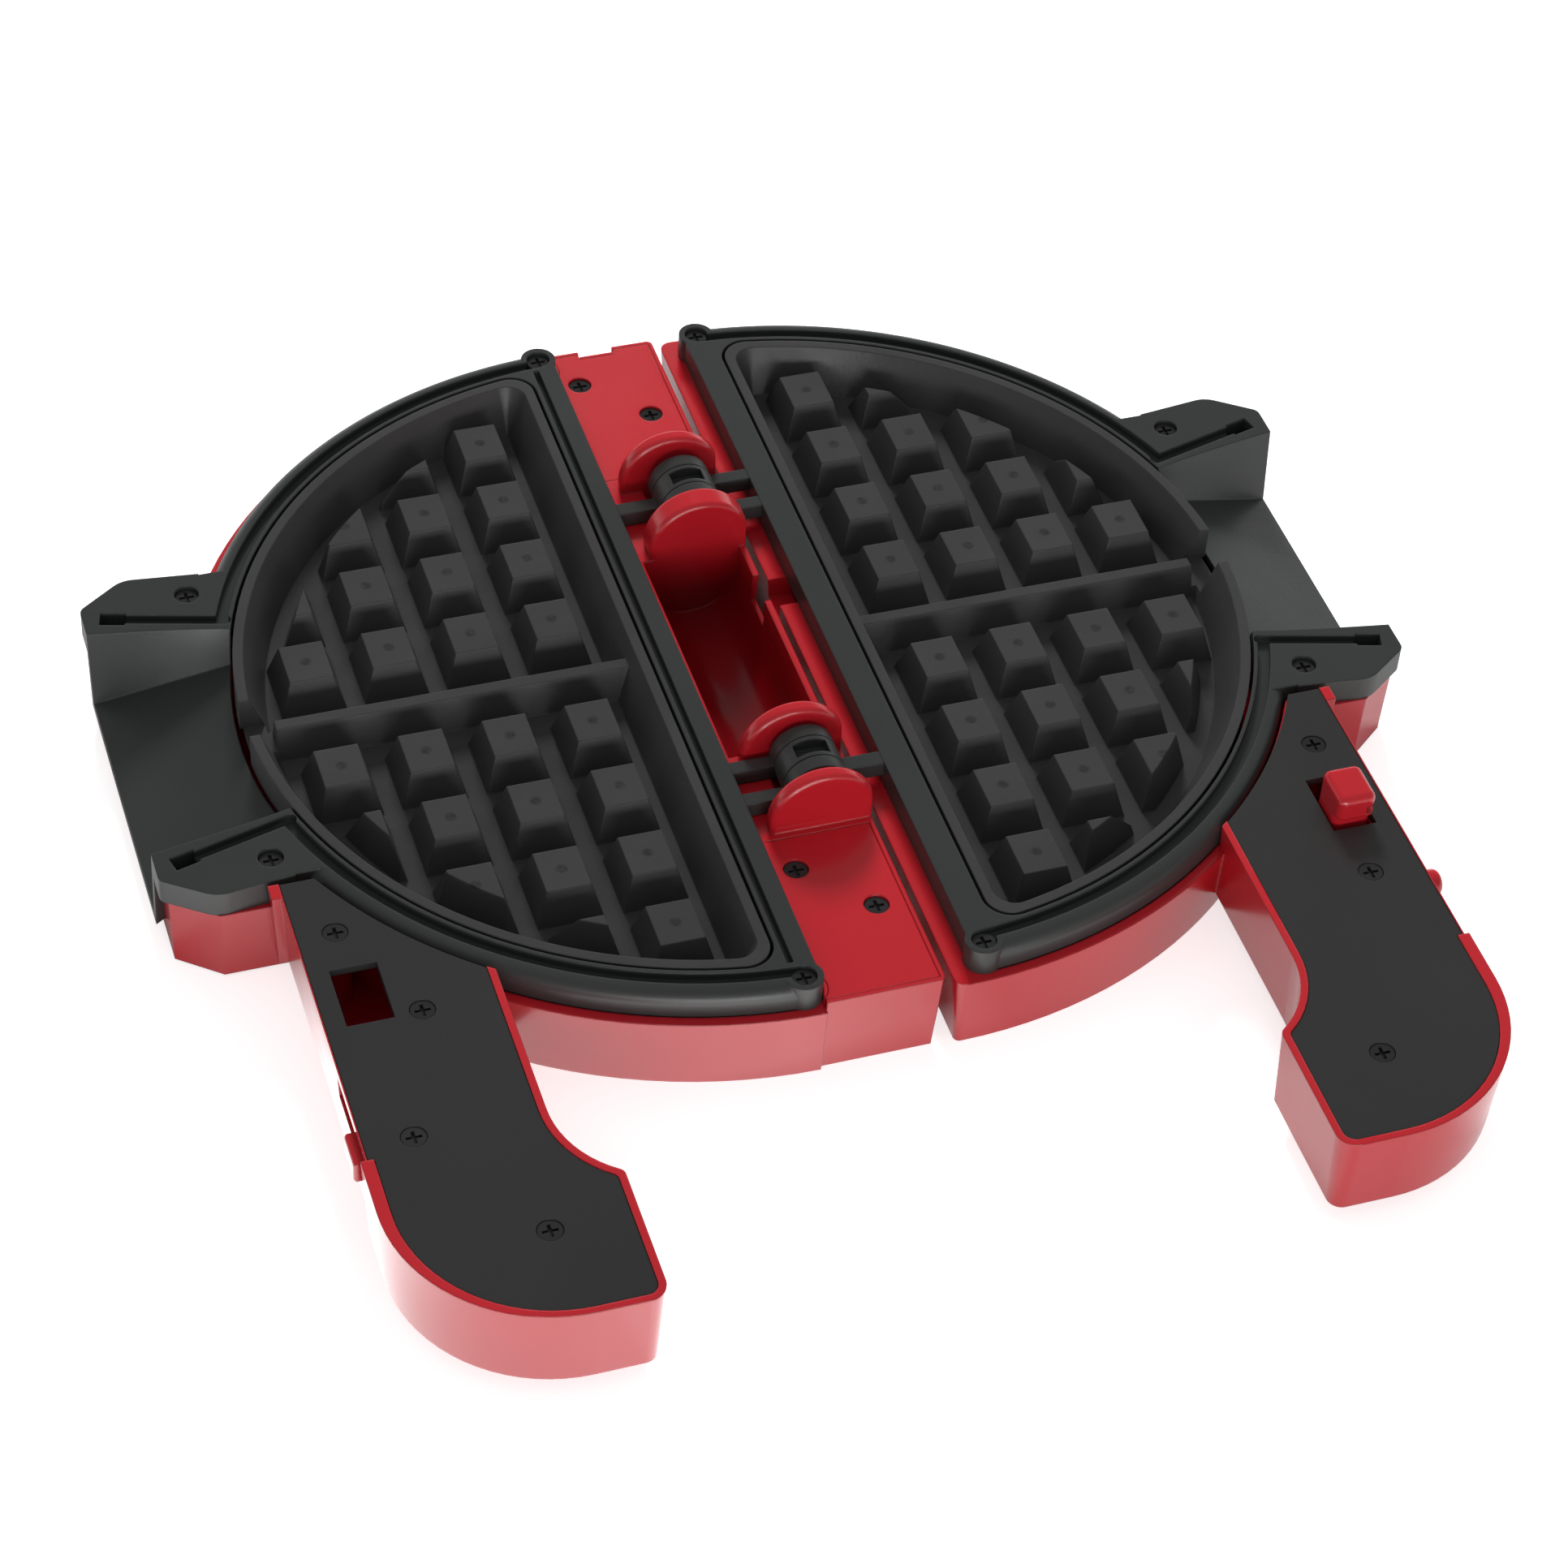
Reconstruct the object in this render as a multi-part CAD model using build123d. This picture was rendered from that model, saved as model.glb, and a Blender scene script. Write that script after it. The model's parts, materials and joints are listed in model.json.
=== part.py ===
from build123d import *
import math
import os

# Vertical waffle maker, opened flat. The hinge axis runs along Y in the mating plane.
# Every piece is drawn with that axis at z = 0 and lifted by half_depth when it is written.

# Whole object
half_depth = 27.0
mating_gap = 0.3
part_gap = 0.3
running_fit = 0.05
seat_gap = 0.15

# Round body seen from above, right half
arc_x = 16.0
shell_radius = 117.0
shell_edge_x = 13.0
shell_corner = 3.0
shell_draft = 4.3
shell_wall = 2.4
shell_floor = 2.5
seat_z = -6.8
ledge_width = 6.0

# Black frame
rim_radius = shell_radius - 2.7
rim_reach_x = arc_x + rim_radius
rim_edge_x = 17.5
rim_corner = 3.0
rim_edge_round = 0.8
rim_arc_round = 3.4
corner_boss_radius = 4.4
corner_screw_x = 21.0
corner_screw_y = rim_radius - corner_boss_radius + 0.6
groove_outer_radius = rim_radius - rim_arc_round - 0.4
groove_width = 3.0
groove_depth = 2.2
side_groove_x = 22.0
side_groove_width = 1.6

# Flanges beside the spout
flange_root_y = 51.5
flange_shoulder_x = rim_reach_x + 9.2
flange_shoulder_y = 54.0
flange_end_x = rim_reach_x + 20.7
flange_end_y = 46.0
flange_shoulder_round = 7.0
flange_end_round = 2.5
flange_screw_x = rim_reach_x - 4.8
flange_screw_y = 45.3
flange_groove_x0 = rim_reach_x - 11.7
flange_groove_y0 = 34.4
flange_groove_x1 = rim_reach_x + 16.7
flange_groove_y1 = 41.9
flange_pocket_length = 6.0
flange_pocket_width = 1.4 * groove_width
flange_pocket_depth = 5.0

# Spout channel, from its inner end to its outer end
spout_x0 = rim_reach_x - 15.3
spout_x1 = flange_end_x
spout_floor_z0 = -6.2
spout_floor_z1 = -20.8
spout_floor_half0 = 25.8
spout_floor_half1 = 35.2
spout_top_half0 = 28.0
spout_top_half1 = 37.2
spout_wall = 2.2

# Red wing of the shell below the flanges
wing_end_x = flange_end_x - 1.8
wing_chamfer_x = flange_shoulder_x - 0.5
wing_chamfer_y = 46.0
wing_side_y = flange_shoulder_y
wing_bottom_z = -26.4
wing_draft = 1.5

# Grid plate
plate_radius = rim_radius - 8.5
plate_gap = 0.8
plate_edge_x = 25.4
plate_corner = 6.0
plate_lip = 2.4
plate_lip_height = 8.9
plate_under_draft = 16.0
plate_under_inset = 0.8
plate_cavity_depth = 11.85
plate_cavity_draft = 22.0
plate_thickness = 3.0
plate_gate_depth = 9.05
plate_gate_half = 6.0
plate_gate_length = 7.4
rib_top_depth = 3.85
rib_top_width = 3.0
rib_base_width = 8.8

# Opening of the frame round the grid plate
opening_radius = plate_radius + plate_gap
opening_edge_x = plate_edge_x - plate_gap
opening_corner = plate_corner + plate_gap

# Studs of the grid
stud_pitch_x = 20.0
stud_pitch_y = 22.4
stud_first_x = 42.9
stud_first_y = 18.1
stud_top_x = 10.4
stud_top_y = 12.4
stud_top_depth = 2.65
stud_draft = 16.5
stud_trim_radius = plate_radius - 13.5
stud_whole_radius = plate_radius - 7.2

# Hinges
hinge_y = 49.5
knuckle_radius = 7.7
knuckle_length = 14.2
fork_ring = 3.6
pin_radius = 2.5
arm_top_z = -0.3
arm_thickness = 3.9
arm_width = 4.0
knuckle_slot_x = 8.0
knuckle_slot_y = 4.0
knuckle_slot_depth = 3.0
ear_radius = 12.8
ear_shift_x = -0.95
ear_drop = 2.0
ear_thickness = 4.0
ear_inner_y0 = hinge_y - 12.7
ear_outer_y0 = hinge_y + 9.8
ear_far_extra = 3.0
ear_round = 1.4
pin_end_depth = 2.8
pocket_radius = 9.3

# Base block of the left shell
block_left_x = -17.2
block_right_x = 10.6
block_half_y = shell_radius - 1.0
block_top_z = -4.5
block_draft = 3.8
block_corner = 1.5
block_wall = 2.2
block_rim = 1.0
room_inset = 1.5
cover_thickness = 2.4
cover_near_y = 65.0
cover_gap = 0.15
base_screw_sink = 0.5
base_screw_head = 1.2
trough_left_x = -15.5
trough_right_x = 9.0
trough_near_y = -ear_inner_y0
trough_far_y = ear_inner_y0 - ear_far_extra
trough_centre_z = -11.0
wire_notch_y0 = 13.0
wire_notch_y1 = 22.5
wire_notch_z = -12.5
wire_window_y = 90.0
wire_window_width = 10.0
wire_window_z0 = -20.0
wire_window_z1 = -12.0
cord_recess_x0 = -9.0
cord_recess_x1 = 0.0
cord_recess_depth = 2.0
gland_z = -16.0
gland_radius = 3.6
gland_bore = 2.4
gland_flange_radius = 4.3
gland_flange_thickness = 1.8
gland_neck_length = 4.5
gland_room = 2.0

# Handles, right one, measured from their outer side and from where they leave the round body
grip_length = 94.5
grip_width = 41.4
grip_heel_width = 11.3
grip_step = 1.2
grip_set_in = 5.8
grip_straight = 39.1
grip_step_reach = 43.1
grip_outer_x = arc_x + shell_radius - grip_set_in
grip_inner_x = grip_outer_x - grip_width
grip_heel_x = grip_inner_x - grip_heel_width
grip_upper_x = grip_outer_x - grip_step
grip_leave_y = -math.sqrt(shell_radius ** 2 - (grip_inner_x - arc_x) ** 2)
grip_end_y = grip_leave_y - grip_length
grip_notch_y = grip_leave_y - grip_straight
grip_notch_radius = 24.5
grip_outer_radius = 37.2
grip_heel_round = 4.5
grip_bump_round = 2.0
grip_step_y = grip_leave_y - grip_step_reach
grip_top_y = -wing_side_y
grip_bottom_z = -22.0
grip_draft = 3.0
grip_wall = 1.7
grip_floor = 2.2
grip_cover_thickness = 2.0
grip_arc_radius = rim_radius + 0.9
grip_root = 2.0
nub_width = 2.2
nub_length = 4.5
cover_edge_gap = 0.3

# Catch hole, catch and lock slider
hole_x0 = grip_outer_x - 16.9
hole_x1 = grip_outer_x - 6.2
hole_y0 = grip_leave_y - 5.3
hole_y1 = hole_y0 + 17.0
catch_height = 8.6
catch_side_gap = 0.65
catch_back_gap = 2.3
catch_head_length = 11.4
catch_head_round = 2.0
catch_front_gap = 1.8
catch_nose = 1.5
catch_travel = 1.5
catch_groove_depth = 2.4
catch_groove_z0 = 3.0
catch_groove_z1 = 5.3
catch_foot_z = -6.0
carrier_top_z = -2.6
carrier_bottom_z = -9.5
carrier_thickness = 2.6
carrier_outer_x = grip_outer_x - 3.8
runner_setback = 4.0
peg_y = grip_leave_y - 22.6
peg_z = -4.6
peg_radius = 1.7
peg_knob_radius = 3.2
peg_knob_gap = 0.6
peg_reach_x = grip_outer_x + 2.5
peg_margin = 3.0
catch_web_inset = 4.0
catch_web_length = 6.9
lock_travel = 14.0
tab_y0 = grip_leave_y - 41.1
tab_y1 = tab_y0 + 9.0
tab_reach_x = grip_outer_x + 1.0
lock_slot_z0 = -9.0
lock_slot_z1 = -3.0
tongue_y1 = grip_leave_y - 7.3
tongue_length = 6.0
tongue_gap = 0.35
tab_round = 0.8

# Screws
screw_head_radius = 2.8
screw_head_height = 1.6
screw_shank_radius = 1.5
screw_recess_depth = 0.8
screw_boss_radius = 3.6
screw_sink = 1.0
cross_width = 0.8
cross_length = 3.6
rim_screw_length = 11.0
grip_screw_length = 9.0
grip_screw_head = 0.8
grip_screw_sink = 0.2
far_cover_screws = [(-12.0, block_half_y - 13.0), (2.4, block_half_y - 28.3)]
near_cover_screws = [(-11.3, -cover_near_y - 10.0), (2.9, -cover_near_y - 25.2)]
upper_screw = (grip_outer_x - 10.2, grip_leave_y + 22.5)
end_screw = (grip_inner_x + 8.0, grip_end_y + 23.4)
left_grip_screws = [
    upper_screw,
    (grip_outer_x - 23.1, grip_leave_y - 4.7),
    (grip_outer_x - 12.5, grip_leave_y - 39.2),
    end_screw,
]
right_grip_screws = [upper_screw, (grip_outer_x - 13.8, grip_leave_y - 19.5), end_screw]

# Inside pieces
post_spots = [(40.0, 78.0), (40.0, -78.0), (104.0, 0.0)]
post_radius = 4.0
post_foot_radius = 5.0
under_screw_length = 10.0
under_screw_head = 1.2
under_screw_sink = 1.7
reflector_radius = plate_radius - 8.8
reflector_edge_x = 31.0
reflector_corner = 6.0
reflector_thickness = 0.7
reflector_z = -22.9
element_radius = 3.2
element_ring_radius = 66.0
element_reach_x = 40.0
element_terminal_radius = 1.6
element_terminal_length = 10.0
thermostat_radius = 8.0
thermostat_height = 4.5
thermostat_x = 60.0
thermostat_y = 0.0
thermostat_tab = (4.0, 4.0, 0.8)
fuse_radius = 2.0
fuse_length = 12.0
fuse_lead_radius = 0.5
fuse_clip_width = 4.0
fuse_x = 58.0
fuse_y = 26.0
terminal_size = (12.0, 18.0, 9.0)
terminal_wall_gap = 0.9
terminal_y = block_half_y - 26.1
terminal_pitch = 5.5
terminal_bore = 1.6
terminal_bore_depth = 3.0

rim_top_z = -mating_gap / 2
plate_floor_z = rim_top_z - plate_cavity_depth
plate_bottom_z = plate_floor_z - plate_thickness
cover_top_z = rim_top_z
cover_under_z = cover_top_z - grip_cover_thickness
shell_floor_z = -half_depth + shell_floor
grip_floor_z = grip_bottom_z + grip_floor


def box_between(x0, x1, y0, y1, z0, z1):
    """Box given by its two corners."""
    centre = Pos((x0 + x1) / 2, (y0 + y1) / 2, (z0 + z1) / 2)
    return centre * Box(abs(x1 - x0), abs(y1 - y0), abs(z1 - z0))


def rod(x, y, z0, z1, radius):
    """Upright cylinder from z0 to z1."""
    return Pos(x, y, (z0 + z1) / 2) * Cylinder(radius, abs(z1 - z0))


def rod_along_y(x, z, y0, y1, radius):
    """Cylinder along Y."""
    return Pos(x, (y0 + y1) / 2, z) * Rot(90, 0, 0) * Cylinder(radius, abs(y1 - y0))


def rod_along_x(y, z, x0, x1, radius):
    """Cylinder along X."""
    return Pos((x0 + x1) / 2, y, z) * Rot(0, 90, 0) * Cylinder(radius, abs(x1 - x0))


def prism(outline, z0, z1):
    """Straight prism of an outline between two heights."""
    return extrude(Pos(0, 0, min(z0, z1)) * outline, amount=abs(z1 - z0))


def drafted(outline, top_z, bottom_z, angle):
    """Prism that narrows downwards from its outline at top_z."""
    return extrude(Pos(0, 0, top_z) * outline, amount=bottom_z - top_z, taper=angle)


def mirrored(piece):
    """The same piece on the other side of the hinge."""
    return mirror(piece, about=Plane.YZ)


def half_disc(radius, edge_x, corner):
    """Half disc whose straight side faces the hinge."""
    disc = Pos(arc_x, 0) * Circle(radius)
    window = Pos(edge_x + radius, 0) * Rectangle(2 * radius, 3 * radius)
    outline = disc & window
    corners = [v for v in outline.vertices() if abs(v.X - edge_x) < 0.01]
    return fillet(corners, corner)


def screw(x, y, top_z, head_height, length):
    """Pan head screw with a cross recess, head up."""
    under = top_z - head_height
    body = rod(x, y, under, top_z, screw_head_radius) + rod(x, y, under - length, under, screw_shank_radius)
    cross = Rectangle(cross_length, cross_width) + Rectangle(cross_width, cross_length)
    return body - prism(Pos(x, y) * cross, top_z - screw_recess_depth, top_z)


def screw_hole(x, y, top_z, head_height, length):
    """Hole that a screw sits in, with its sunk head."""
    under = top_z - head_height
    head = rod(x, y, under, top_z + 5, screw_head_radius + seat_gap)
    return head + rod(x, y, under - length - part_gap, under, screw_shank_radius + running_fit)


# Spout and flanges


def along_spout(x, value0, value1):
    """Value that changes evenly along the spout."""
    return value0 + (value1 - value0) * (x - spout_x0) / (spout_x1 - spout_x0)


def spout_section(x, grow, top_z):
    """Cross-section of the spout channel at one x."""
    floor_z = along_spout(x, spout_floor_z0, spout_floor_z1) - grow
    floor_half = along_spout(x, spout_floor_half0, spout_floor_half1) + grow
    top_half = along_spout(x, spout_top_half0, spout_top_half1) + grow
    slope = (top_half - floor_half) / (rim_top_z - floor_z)
    high_half = floor_half + slope * (top_z - floor_z)
    corners = [(-floor_half, floor_z), (floor_half, floor_z), (high_half, top_z), (-high_half, top_z)]
    return Plane(origin=(x, 0, 0), x_dir=(0, 1, 0), z_dir=(1, 0, 0)) * Polygon(*corners, align=None)


def spout_solid(x0, x1, grow, top_z):
    """Body of the spout between two places, grown by a wall or a gap."""
    return loft([spout_section(x0, grow, top_z), spout_section(x1, grow, top_z)], ruled=True)


def spout_outer():
    """Outer form of the whole spout, which the shell leaves room for."""
    return spout_solid(spout_x0 - 6, spout_x1, spout_wall, rim_top_z - rim_edge_round)


def flange_outline():
    """Outline of the two flanges, outer end included."""
    inner_x = arc_x + rim_radius / 2
    corners = [
        (inner_x, -flange_root_y),
        (arc_x + math.sqrt(rim_radius ** 2 - flange_root_y ** 2), -flange_root_y),
        (flange_shoulder_x, -flange_shoulder_y),
        (flange_end_x, -flange_end_y),
    ]
    corners += [(x, -y) for x, y in reversed(corners)]
    outline = Polygon(*corners, align=None)
    shoulders = [v for v in outline.vertices() if abs(v.X - flange_shoulder_x) < 0.01]
    outline = fillet(shoulders, flange_shoulder_round)
    ends = [v for v in outline.vertices() if abs(v.X - flange_end_x) < 0.01]
    return fillet(ends, flange_end_round)


def groove_outline():
    """Seal groove: round the arc and out along both flanges."""
    ring = Pos(arc_x, 0) * (Circle(groove_outer_radius) - Circle(groove_outer_radius - groove_width))
    window = Pos(corner_screw_x + shell_radius, 0) * Rectangle(2 * shell_radius, 3 * shell_radius)
    gate = Pos(arc_x + shell_radius, 0) * Rectangle(shell_radius, 2 * flange_groove_y0)
    ring = (ring & window) - gate
    run = math.hypot(flange_groove_x1 - flange_groove_x0, flange_groove_y1 - flange_groove_y0)
    turn = math.degrees(math.atan2(flange_groove_y1 - flange_groove_y0, flange_groove_x1 - flange_groove_x0))
    lane = Pos(flange_groove_x0, flange_groove_y0) * Rot(0, 0, turn) * Pos(run / 2, 0)
    straight = lane * Rectangle(run, groove_width)
    bend = Pos(flange_groove_x0, flange_groove_y0) * Circle(groove_width / 2)
    side = straight + bend
    return ring + side + mirror(side, about=Plane.XZ)


def flange_pockets():
    """Deeper pocket at the outer end of each flange groove."""
    turn = math.degrees(math.atan2(flange_groove_y1 - flange_groove_y0, flange_groove_x1 - flange_groove_x0))
    shape = Rot(0, 0, turn) * Pos(-flange_pocket_length / 2, 0) * Rectangle(flange_pocket_length, flange_pocket_width)
    pocket = prism(Pos(flange_groove_x1, flange_groove_y1) * shape, rim_top_z - flange_pocket_depth, rim_top_z)
    return pocket + mirror(pocket, about=Plane.XZ)


def rim_screw_spots():
    """Places of the four frame screws of one half."""
    spots = []
    for side in (1, -1):
        spots.append((corner_screw_x, side * corner_screw_y))
        spots.append((flange_screw_x, side * flange_screw_y))
    return spots


def knuckle(y0, y1):
    """One knuckle ring about the hinge axis."""
    return rod_along_y(0, 0, y0, y1, knuckle_radius)


def hinge_parts(stack_y, forked):
    """Knuckles and arms of one frame at one hinge, right side."""
    arm_z0 = arm_top_z - arm_thickness
    half = knuckle_length / 2
    if forked:
        rings = [(stack_y - half, stack_y - half + fork_ring), (stack_y + half - fork_ring, stack_y + half)]
    else:
        barrel_half = half - fork_ring - part_gap
        rings = [(stack_y - barrel_half, stack_y + barrel_half)]
    parts = None
    for y0, y1 in rings:
        middle = (y0 + y1) / 2
        arm = box_between(0, rim_edge_x + 1, middle - arm_width / 2, middle + arm_width / 2, arm_z0, arm_top_z)
        if forked:
            arm = box_between(0, rim_edge_x + 1, y0, y1, arm_z0, arm_top_z)
        piece = knuckle(y0, y1) + arm
        parts = piece if parts is None else parts + piece
    if not forked:
        slot = Pos(0, stack_y, knuckle_radius - knuckle_slot_depth / 2)
        parts -= slot * Box(knuckle_slot_x, knuckle_slot_y, knuckle_slot_depth)
    return parts


def hinge_bores():
    """Bores of both hinges."""
    radius = pin_radius + running_fit
    bores = None
    for side in (1, -1):
        middle = side * hinge_y
        bore = rod_along_y(0, 0, middle - knuckle_length, middle + knuckle_length, radius)
        bores = bore if bores is None else bores + bore
    return bores


def rim_rounding():
    """What the rounded outer edge of the round rim takes away."""
    inner = rim_radius - rim_arc_round
    low_z = rim_top_z - rim_arc_round
    middle = (
        inner + rim_arc_round * math.sin(math.pi / 4),
        low_z + rim_arc_round * math.cos(math.pi / 4))
    outer = rim_radius + 3
    high_z = rim_top_z + 1
    lines = [
        ThreePointArc((inner, rim_top_z), middle, (rim_radius, low_z)),
        Line((rim_radius, low_z), (outer, low_z)),
        Line((outer, low_z), (outer, high_z)),
        Line((outer, high_z), (inner, high_z)),
        Line((inner, high_z), (inner, rim_top_z)),
    ]
    section = Plane.XZ * make_face(Wire(lines))
    ring = Pos(arc_x, 0, 0) * revolve(section, Axis.Z)
    ring -= box_between(arc_x + rim_radius / 2, 2 * rim_reach_x, -flange_root_y, flange_root_y, -half_depth, 5)
    for side in (1, -1):
        ring -= rod(corner_screw_x, side * corner_screw_y, -half_depth, 5, corner_boss_radius)
    return ring


def frame_body():
    """Frame of the right half without its knuckles."""
    outline = half_disc(rim_radius, rim_edge_x, rim_corner) + flange_outline()
    for side in (1, -1):
        outline += Pos(corner_screw_x, side * corner_screw_y) * Circle(corner_boss_radius)
    plate = prism(outline, seat_z, rim_top_z)
    body = plate - rim_rounding() + spout_outer()
    opening = prism(half_disc(opening_radius, opening_edge_x, opening_corner), -half_depth, 5)
    channel = spout_solid(spout_x0 - 12, spout_x1 + 2, 0, 3)
    body = body - opening - channel
    body -= prism(groove_outline(), rim_top_z - groove_depth, rim_top_z + 1)
    body -= flange_pockets()
    for x, y in rim_screw_spots():
        body -= screw_hole(x, y, rim_top_z - screw_sink, screw_head_height, rim_screw_length)
    return body


def frame(far_forked):
    """Whole frame of the right half with its knuckles."""
    body = frame_body()
    body += hinge_parts(hinge_y, far_forked)
    body += hinge_parts(-hinge_y, not far_forked)
    return body - hinge_bores()


def left_frame():
    """The same frame turned half a turn about Z, with a groove along its straight side."""
    half = corner_screw_y - corner_boss_radius
    groove = box_between(
        -side_groove_x - side_groove_width, -side_groove_x, -half, half, rim_top_z - groove_depth, rim_top_z + 1)
    return Rot(0, 0, 180) * frame(True) - groove


# Grid plates


def stud_spots():
    """Stud centres of one half, each with whether it is whole."""
    spots = []
    columns = int((plate_radius + arc_x - stud_first_x) / stud_pitch_x) + 1
    rows = int((plate_radius - stud_first_y) / stud_pitch_y) + 1
    for column in range(columns):
        for row in range(rows):
            x = stud_first_x + column * stud_pitch_x
            y = stud_first_y + row * stud_pitch_y
            far_corner = math.hypot(x + stud_top_x / 2 - arc_x, y + stud_top_y / 2)
            near_corner = math.hypot(x - stud_top_x / 2 - arc_x, y - stud_top_y / 2)
            if near_corner < stud_trim_radius - 2:
                for side in (1, -1):
                    spots.append((x, side * y, far_corner < stud_whole_radius))
    return spots


def stud(x, y):
    """One square stud that widens towards its foot."""
    top_z = rim_top_z - stud_top_depth
    spread = (top_z - plate_floor_z) * math.tan(math.radians(stud_draft))
    top = Pos(x, y, top_z) * Rectangle(stud_top_x, stud_top_y)
    foot = Pos(x, y, plate_floor_z - 0.5) * Rectangle(stud_top_x + 2 * spread, stud_top_y + 2 * spread)
    return loft([foot, top], ruled=True)


def stud_trim():
    """Round limit of the cut studs, widening downwards."""
    top_z = rim_top_z - stud_top_depth
    height = top_z - plate_floor_z
    spread = height * math.tan(math.radians(stud_draft))
    cone = Cone(stud_trim_radius + spread, stud_trim_radius, height)
    return Pos(arc_x, 0, plate_floor_z + height / 2) * cone


def middle_rib():
    """Rib across the middle of the plate."""
    top_z = rim_top_z - rib_top_depth
    foot = [(-rib_base_width / 2, plate_floor_z - 0.5), (rib_base_width / 2, plate_floor_z - 0.5)]
    top = [(rib_top_width / 2, top_z), (-rib_top_width / 2, top_z)]
    start = Plane(origin=(plate_edge_x + 1, 0, 0), x_dir=(0, 1, 0), z_dir=(1, 0, 0))
    section = start * Polygon(*foot, *top, align=None)
    return extrude(section, amount=arc_x + plate_radius - plate_lip - plate_edge_x)


def plate_cavity():
    """Space of the cavity, narrowing downwards."""
    outline = half_disc(plate_radius - plate_lip, plate_edge_x + plate_lip, plate_corner - 1)
    return drafted(outline, rim_top_z, plate_floor_z, plate_cavity_draft)


def plate_blank():
    """Plate before its cavity is cut."""
    lip = prism(half_disc(plate_radius, plate_edge_x, plate_corner), rim_top_z - plate_lip_height, rim_top_z)
    inset = plate_under_inset
    under = half_disc(plate_radius - inset, plate_edge_x + inset, plate_corner)
    return lip + drafted(under, rim_top_z - plate_lip_height, plate_bottom_z, plate_under_draft)


def grid_plate():
    """Grid plate of the right half."""
    cavity = plate_cavity()
    body = plate_blank() - cavity
    body += middle_rib() & plate_blank()
    trim = stud_trim()
    for x, y, whole in stud_spots():
        piece = stud(x, y)
        if not whole:
            piece = piece & trim
        body += piece
    body -= box_between(
        arc_x + plate_radius - plate_gate_length, arc_x + plate_radius + 1, -plate_gate_half, plate_gate_half,
        rim_top_z - plate_gate_depth, rim_top_z + 1)
    for x, y in post_spots:
        body += rod(x, y, reflector_z + reflector_thickness, plate_bottom_z + 0.5, post_radius)
        body -= rod(x, y, reflector_z, plate_bottom_z + 0.8, screw_shank_radius + running_fit)
    return body


# Shells


def grip_outline(inset, outer_x, top_y):
    """Outline of the handle, inset from its outer face."""
    inner_x = grip_inner_x + inset
    heel_x = grip_heel_x + inset
    side_x = outer_x - inset
    end_y = grip_end_y + inset
    radius = grip_outer_radius - (grip_outer_x - outer_x) - inset
    notch_radius = grip_notch_radius + inset
    notch_x = grip_inner_x - grip_notch_radius
    heel_y = grip_notch_y - math.sqrt(notch_radius ** 2 - (heel_x - notch_x) ** 2)
    arc_end = math.atan2(heel_y - grip_notch_y, heel_x - notch_x)
    notch_mid = (
        notch_x + notch_radius * math.cos(arc_end / 2),
        grip_notch_y + notch_radius * math.sin(arc_end / 2))
    side_y = end_y + radius
    corner_x = side_x - radius
    corner_mid = (corner_x + radius * math.cos(math.pi / 4), side_y - radius * math.sin(math.pi / 4))
    lines = [
        Line((inner_x, top_y), (inner_x, grip_notch_y)),
        ThreePointArc((inner_x, grip_notch_y), notch_mid, (heel_x, heel_y)),
        Line((heel_x, heel_y), (heel_x, end_y)),
        Line((heel_x, end_y), (corner_x, end_y)),
        ThreePointArc((corner_x, end_y), corner_mid, (side_x, side_y)),
        Line((side_x, side_y), (side_x, top_y)),
        Line((side_x, top_y), (inner_x, top_y)),
    ]
    outline = make_face(Wire(lines))
    heel = [v for v in outline.vertices() if abs(v.X - heel_x) < 0.01 and abs(v.Y - end_y) < 0.01]
    outline = fillet(heel, max(grip_heel_round - inset, 1.0))
    bump = [v for v in outline.vertices() if abs(v.X - heel_x) < 0.01 and abs(v.Y - heel_y) < 0.01]
    return fillet(bump, grip_bump_round)


def wing_outline(inset):
    """Outline of the red wing below the flanges."""
    inner_x = arc_x + shell_radius / 2
    corners = [
        (inner_x, -wing_side_y + inset),
        (wing_chamfer_x - inset / 2, -wing_side_y + inset),
        (wing_end_x - inset, -wing_chamfer_y + inset / 2),
    ]
    corners += [(x, -y) for x, y in reversed(corners)]
    return Polygon(*corners, align=None)


def round_outer():
    """Outer form of the round part of the right shell."""
    outline = half_disc(shell_radius, shell_edge_x, shell_corner)
    return drafted(outline, seat_z, -half_depth, shell_draft)


def round_inner(start_x):
    """Hollow of the round part, from start_x on."""
    outline = half_disc(shell_radius - shell_wall, start_x, shell_corner)
    return drafted(outline, seat_z + 1, shell_floor_z, shell_draft)


def wing_outer():
    """Outer form of the wing."""
    return drafted(wing_outline(0), seat_z, wing_bottom_z, wing_draft)


def wing_inner():
    """Hollow of the wing."""
    return drafted(wing_outline(shell_wall), seat_z + 1, wing_bottom_z + shell_floor, wing_draft)


def grip_outer():
    """Outer form of the handle with its step and the nub beside the flange."""
    root_y = grip_top_y + grip_root
    body = drafted(grip_outline(0, grip_upper_x, root_y), 0, grip_bottom_z, grip_draft)
    lower = drafted(grip_outline(0, grip_outer_x, root_y), 0, grip_bottom_z, grip_draft)
    below = box_flat(0, 2 * grip_outer_x, 2 * grip_end_y, grip_step_y)
    body += lower & drafted(below, 0, grip_bottom_z, grip_draft)
    nub = box_flat(grip_inner_x + grip_wall, grip_upper_x + nub_width, grip_top_y - nub_length, root_y)
    body += drafted(nub, 0, grip_bottom_z, grip_draft)
    body -= box_between(0, 2 * grip_outer_x, grip_top_y, 0, seat_z, 5)
    return body - rod(arc_x, 0, seat_z, 5, rim_radius + 2 * part_gap)


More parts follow.
